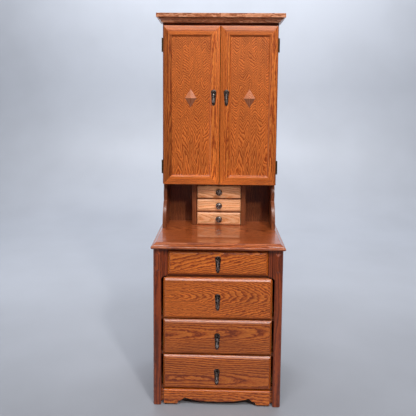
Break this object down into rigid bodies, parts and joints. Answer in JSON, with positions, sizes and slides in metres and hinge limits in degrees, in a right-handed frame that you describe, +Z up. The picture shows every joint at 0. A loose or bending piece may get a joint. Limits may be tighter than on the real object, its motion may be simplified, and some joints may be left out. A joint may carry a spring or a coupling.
{
  "type": "armoire",
  "caption": "Tall narrow oak armoire: a chest of drawers with a moulded desk top, an open tier with little drawers, and a two-door cabinet under a cornice.",
  "frame": {"origin": "on the floor, at the middle of the overall footprint", "axes": "+Z up, the doors and drawers face -Y, +X to the viewer's right"},
  "size_m": [0.61, 0.47, 1.8],
  "materials": {
    "oak_carcass": "amber lacquered oak, semi-gloss",
    "oak_desk_top": "amber lacquered oak, high gloss",
    "oak_door_frame": "amber lacquered oak, semi-gloss",
    "oak_door_panel": "book-matched oak veneer, lacquered",
    "oak_drawer_front": "amber lacquered oak, semi-gloss",
    "oak_small_drawer": "honey lacquered oak, semi-gloss",
    "inner_wood": "plain sanded wood",
    "antique_bronze": "cast, dark antique finish, rubbed highlights",
    "hinge_metal": "stamped, darkened",
    "pin_steel": "plated",
    "catch_plastic": "moulded brown"
  },
  "bodies": {
    "root": {"front_post_left": "oak_carcass", "front_post_right": "oak_carcass", "rear_posts": "oak_carcass", "side_panel_left": "oak_carcass", "side_panel_right": "oak_carcass", "chest_back_panel": "inner_wood", "chest_bottom_board": "inner_wood", "front_rails": "oak_carcass", "top_drawer_stiles": "oak_carcass", "drawer_runners": "inner_wood", "desk_top": "oak_desk_top", "apron": "oak_carcass", "cabinet_brackets": "oak_carcass", "hutch_back_panel": "oak_carcass", "small_drawer_case": "oak_carcass", "cabinet_side_left": "oak_carcass", "cabinet_side_right": "oak_carcass", "cabinet_top": "oak_carcass", "cabinet_bottom": "oak_carcass", "cabinet_back_panel": "inner_wood", "cabinet_shelves": "inner_wood", "shelf_pins": "pin_steel", "door_catches": "catch_plastic", "cornice": "oak_carcass", "fixed_hinge_leaves": "hinge_metal"},
    "door_left": {"door_left_frame": "oak_door_frame", "door_left_panel": "oak_door_panel", "door_left_hinge_leaves": "hinge_metal", "door_left_pull_plate": "antique_bronze"},
    "door_left_drop": {"door_left_drop": "antique_bronze"},
    "door_right": {"door_right_frame": "oak_door_frame", "door_right_panel": "oak_door_panel", "door_right_hinge_leaves": "hinge_metal", "door_right_pull_plate": "antique_bronze"},
    "door_right_drop": {"door_right_drop": "antique_bronze"},
    "drawer_1": {"drawer_1_front": "oak_drawer_front", "drawer_1_box": "inner_wood", "drawer_1_pull_plate": "antique_bronze"},
    "drawer_1_drop": {"drawer_1_drop": "antique_bronze"},
    "drawer_2": {"drawer_2_front": "oak_drawer_front", "drawer_2_box": "inner_wood", "drawer_2_pull_plate": "antique_bronze"},
    "drawer_2_drop": {"drawer_2_drop": "antique_bronze"},
    "drawer_3": {"drawer_3_front": "oak_drawer_front", "drawer_3_box": "inner_wood", "drawer_3_pull_plate": "antique_bronze"},
    "drawer_3_drop": {"drawer_3_drop": "antique_bronze"},
    "drawer_4": {"drawer_4_front": "oak_drawer_front", "drawer_4_box": "inner_wood", "drawer_4_pull_plate": "antique_bronze"},
    "drawer_4_drop": {"drawer_4_drop": "antique_bronze"},
    "small_drawer_1": {"small_drawer_1_front": "oak_small_drawer", "small_drawer_1_box": "inner_wood", "small_drawer_1_knob": "antique_bronze"},
    "small_drawer_2": {"small_drawer_2_front": "oak_small_drawer", "small_drawer_2_box": "inner_wood", "small_drawer_2_knob": "antique_bronze"},
    "small_drawer_3": {"small_drawer_3_front": "oak_small_drawer", "small_drawer_3_box": "inner_wood", "small_drawer_3_knob": "antique_bronze"}
  },
  "joints": [
    {"name": "door_left_hinge", "type": "hinge", "parent": "root", "child": "door_left", "pos_m": [-0.281, 0.0605, 1.364], "axis": [0, 0, -1], "range_deg": [0, 180]},
    {"name": "door_left_drop_swing", "type": "hinge", "parent": "door_left", "child": "door_left_drop", "pos_m": [-0.031, 0.032, 1.4265], "axis": [-1, 0, 0], "range_deg": [0, 85]},
    {"name": "door_right_hinge", "type": "hinge", "parent": "root", "child": "door_right", "pos_m": [0.281, 0.0605, 1.364], "axis": [0, 0, 1], "range_deg": [0, 180]},
    {"name": "door_right_drop_swing", "type": "hinge", "parent": "door_right", "child": "door_right_drop", "pos_m": [0.031, 0.032, 1.4265], "axis": [-1, 0, 0], "range_deg": [0, 85]},
    {"name": "drawer_1_slide", "type": "slide", "parent": "root", "child": "drawer_1", "axis": [0, -1, 0], "range_m": [0, 0.3]},
    {"name": "drawer_1_drop_swing", "type": "hinge", "parent": "drawer_1", "child": "drawer_1_drop", "pos_m": [0, -0.224, 0.685], "axis": [-1, 0, 0], "range_deg": [0, 85]},
    {"name": "drawer_2_slide", "type": "slide", "parent": "root", "child": "drawer_2", "axis": [0, -1, 0], "range_m": [0, 0.3]},
    {"name": "drawer_2_drop_swing", "type": "hinge", "parent": "drawer_2", "child": "drawer_2_drop", "pos_m": [0, -0.226, 0.512], "axis": [-1, 0, 0], "range_deg": [0, 85]},
    {"name": "drawer_3_slide", "type": "slide", "parent": "root", "child": "drawer_3", "axis": [0, -1, 0], "range_m": [0, 0.3]},
    {"name": "drawer_3_drop_swing", "type": "hinge", "parent": "drawer_3", "child": "drawer_3_drop", "pos_m": [0, -0.226, 0.33], "axis": [-1, 0, 0], "range_deg": [0, 85]},
    {"name": "drawer_4_slide", "type": "slide", "parent": "root", "child": "drawer_4", "axis": [0, -1, 0], "range_m": [0, 0.3]},
    {"name": "drawer_4_drop_swing", "type": "hinge", "parent": "drawer_4", "child": "drawer_4_drop", "pos_m": [0, -0.226, 0.162], "axis": [-1, 0, 0], "range_deg": [0, 85]},
    {"name": "small_drawer_1_slide", "type": "slide", "parent": "root", "child": "small_drawer_1", "axis": [0, -1, 0], "range_m": [0, 0.065]},
    {"name": "small_drawer_2_slide", "type": "slide", "parent": "root", "child": "small_drawer_2", "axis": [0, -1, 0], "range_m": [0, 0.065]},
    {"name": "small_drawer_3_slide", "type": "slide", "parent": "root", "child": "small_drawer_3", "axis": [0, -1, 0], "range_m": [0, 0.065]}
  ]
}
